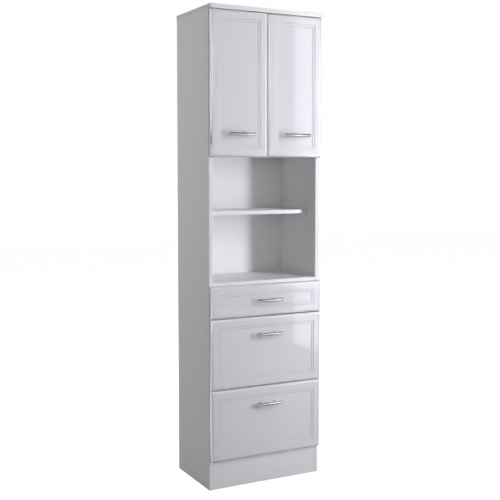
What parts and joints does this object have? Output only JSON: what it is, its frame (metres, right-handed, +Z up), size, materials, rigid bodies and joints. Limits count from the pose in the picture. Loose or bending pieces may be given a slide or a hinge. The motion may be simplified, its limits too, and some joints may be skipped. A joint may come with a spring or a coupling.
{
  "type": "microwave cabinet",
  "caption": "Tall narrow kitchen cabinet with an open shelved niche for a microwave oven, framed glossy doors above it and drawers on roller runners below it.",
  "frame": {"origin": "middle of the bounding box on the floor, under the cabinet", "axes": "+Z up, -Y towards the doors and drawers, +X to the right as seen from the front"},
  "size_m": [0.502, 0.354, 1.9],
  "materials": {
    "melamine_white": "white melamine-faced board, matt",
    "front_gloss": "white foil-wrapped fibreboard, high gloss",
    "back_white": "white coated hardboard, matt",
    "handle_steel": "satin",
    "hinge_steel": "nickel-plated",
    "bracket_steel": "zinc-plated sheet",
    "zinc": "zinc-plated",
    "runner_white": "white powder coat",
    "roller_plastic": "nylon",
    "strip_plastic": "extruded, matt",
    "buffer_plastic": "soft, clear",
    "dowel_wood": "fluted beech"
  },
  "bodies": {
    "carcass": {"side_left": "melamine_white", "side_right": "melamine_white", "top_panel": "melamine_white", "niche_ceiling": "melamine_white", "niche_floor": "melamine_white", "bottom_panel": "melamine_white", "plinth": "melamine_white", "back_panel_upper": "back_white", "back_panel_lower": "back_white", "back_joint_strip": "strip_plastic", "upper_shelf": "melamine_white", "niche_shelf": "melamine_white", "shelf_pins": "zinc", "cam_fittings": "zinc", "dowels": "dowel_wood", "wall_brackets": "bracket_steel", "buffers": "buffer_plastic", "system_screws": "zinc", "hinge_plates": "hinge_steel", "hinge_arms": "hinge_steel", "cabinet_runners": "runner_white"},
    "outer_links_left": {"outer_links_left": "hinge_steel"},
    "door_left": {"door_left": "front_gloss", "door_handle_left": "handle_steel", "door_screws_left": "zinc", "hinge_cups_left": "hinge_steel"},
    "inner_links_left": {"inner_links_left": "hinge_steel"},
    "outer_links_right": {"outer_links_right": "hinge_steel"},
    "door_right": {"door_right": "front_gloss", "door_handle_right": "handle_steel", "door_screws_right": "zinc", "hinge_cups_right": "hinge_steel"},
    "inner_links_right": {"inner_links_right": "hinge_steel"},
    "drawer_top": {"drawer_front_top": "front_gloss", "drawer_handle_top": "handle_steel", "drawer_sides_top": "melamine_white", "drawer_back_top": "melamine_white", "drawer_bottom_top": "back_white", "drawer_screws_top": "zinc", "drawer_runners_top": "runner_white"},
    "cabinet_rollers_top": {"cabinet_rollers_top": "roller_plastic"},
    "drawer_rollers_top": {"drawer_rollers_top": "roller_plastic"},
    "drawer_middle": {"drawer_front_middle": "front_gloss", "drawer_handle_middle": "handle_steel", "drawer_sides_middle": "melamine_white", "drawer_back_middle": "melamine_white", "drawer_bottom_middle": "back_white", "drawer_screws_middle": "zinc", "drawer_runners_middle": "runner_white"},
    "cabinet_rollers_middle": {"cabinet_rollers_middle": "roller_plastic"},
    "drawer_rollers_middle": {"drawer_rollers_middle": "roller_plastic"},
    "drawer_lower": {"drawer_front_lower": "front_gloss", "drawer_handle_lower": "handle_steel", "drawer_sides_lower": "melamine_white", "drawer_back_lower": "melamine_white", "drawer_bottom_lower": "back_white", "drawer_screws_lower": "zinc", "drawer_runners_lower": "runner_white"},
    "cabinet_rollers_lower": {"cabinet_rollers_lower": "roller_plastic"},
    "drawer_rollers_lower": {"drawer_rollers_lower": "roller_plastic"}
  },
  "joints": [
    {"name": "outer_link_left_turn", "type": "hinge", "parent": "carcass", "child": "outer_links_left", "pos_m": [-0.214, -0.127, 1.5995], "axis": [0, 0, -1], "range_deg": [-40, 0]},
    {"name": "door_left_swing", "type": "hinge", "parent": "outer_links_left", "child": "door_left", "pos_m": [-0.237, -0.1325, 1.5995], "axis": [0, 0, -1], "range_deg": [0, 140]},
    {"name": "inner_link_left_turn", "type": "hinge", "parent": "carcass", "child": "inner_links_left", "pos_m": [-0.217, -0.139, 1.5995], "axis": [0, 0, -1], "range_deg": [-33, 0]},
    {"name": "outer_link_right_turn", "type": "hinge", "parent": "carcass", "child": "outer_links_right", "pos_m": [0.214, -0.127, 1.5995], "axis": [0, 0, 1], "range_deg": [-40, 0]},
    {"name": "door_right_swing", "type": "hinge", "parent": "outer_links_right", "child": "door_right", "pos_m": [0.237, -0.1325, 1.5995], "axis": [0, 0, 1], "range_deg": [0, 140]},
    {"name": "inner_link_right_turn", "type": "hinge", "parent": "carcass", "child": "inner_links_right", "pos_m": [0.217, -0.139, 1.5995], "axis": [0, 0, 1], "range_deg": [-33, 0]},
    {"name": "drawer_top_slide", "type": "slide", "parent": "carcass", "child": "drawer_top", "axis": [0, -1, 0], "range_m": [0, 0.2]},
    {"name": "cabinet_rollers_top_spin", "type": "hinge", "parent": "carcass", "child": "cabinet_rollers_top", "pos_m": [0, -0.118, 0.715], "axis": [1, 0, 0], "continuous": true},
    {"name": "drawer_rollers_top_spin", "type": "hinge", "parent": "drawer_top", "child": "drawer_rollers_top", "pos_m": [0, 0.11, 0.715], "axis": [1, 0, 0], "continuous": true},
    {"name": "drawer_middle_slide", "type": "slide", "parent": "carcass", "child": "drawer_middle", "axis": [0, -1, 0], "range_m": [0, 0.2]},
    {"name": "cabinet_rollers_middle_spin", "type": "hinge", "parent": "carcass", "child": "cabinet_rollers_middle", "pos_m": [0, -0.118, 0.432], "axis": [1, 0, 0], "continuous": true},
    {"name": "drawer_rollers_middle_spin", "type": "hinge", "parent": "drawer_middle", "child": "drawer_rollers_middle", "pos_m": [0, 0.11, 0.432], "axis": [1, 0, 0], "continuous": true},
    {"name": "drawer_lower_slide", "type": "slide", "parent": "carcass", "child": "drawer_lower", "axis": [0, -1, 0], "range_m": [0, 0.2]},
    {"name": "cabinet_rollers_lower_spin", "type": "hinge", "parent": "carcass", "child": "cabinet_rollers_lower", "pos_m": [0, -0.118, 0.146], "axis": [1, 0, 0], "continuous": true},
    {"name": "drawer_rollers_lower_spin", "type": "hinge", "parent": "drawer_lower", "child": "drawer_rollers_lower", "pos_m": [0, 0.11, 0.146], "axis": [1, 0, 0], "continuous": true}
  ],
  "couplings": [
    {"joint": "outer_link_left_turn", "follows": "door_left_swing", "ratio": -0.285},
    {"joint": "inner_link_left_turn", "follows": "door_left_swing", "ratio": -0.235},
    {"joint": "outer_link_right_turn", "follows": "door_right_swing", "ratio": -0.285},
    {"joint": "inner_link_right_turn", "follows": "door_right_swing", "ratio": -0.235},
    {"joint": "cabinet_rollers_top_spin", "follows": "drawer_top_slide", "rad_per_m": 126.58},
    {"joint": "drawer_rollers_top_spin", "follows": "drawer_top_slide", "rad_per_m": 126.58},
    {"joint": "cabinet_rollers_middle_spin", "follows": "drawer_middle_slide", "rad_per_m": 126.58},
    {"joint": "drawer_rollers_middle_spin", "follows": "drawer_middle_slide", "rad_per_m": 126.58},
    {"joint": "cabinet_rollers_lower_spin", "follows": "drawer_lower_slide", "rad_per_m": 126.58},
    {"joint": "drawer_rollers_lower_spin", "follows": "drawer_lower_slide", "rad_per_m": 126.58}
  ]
}
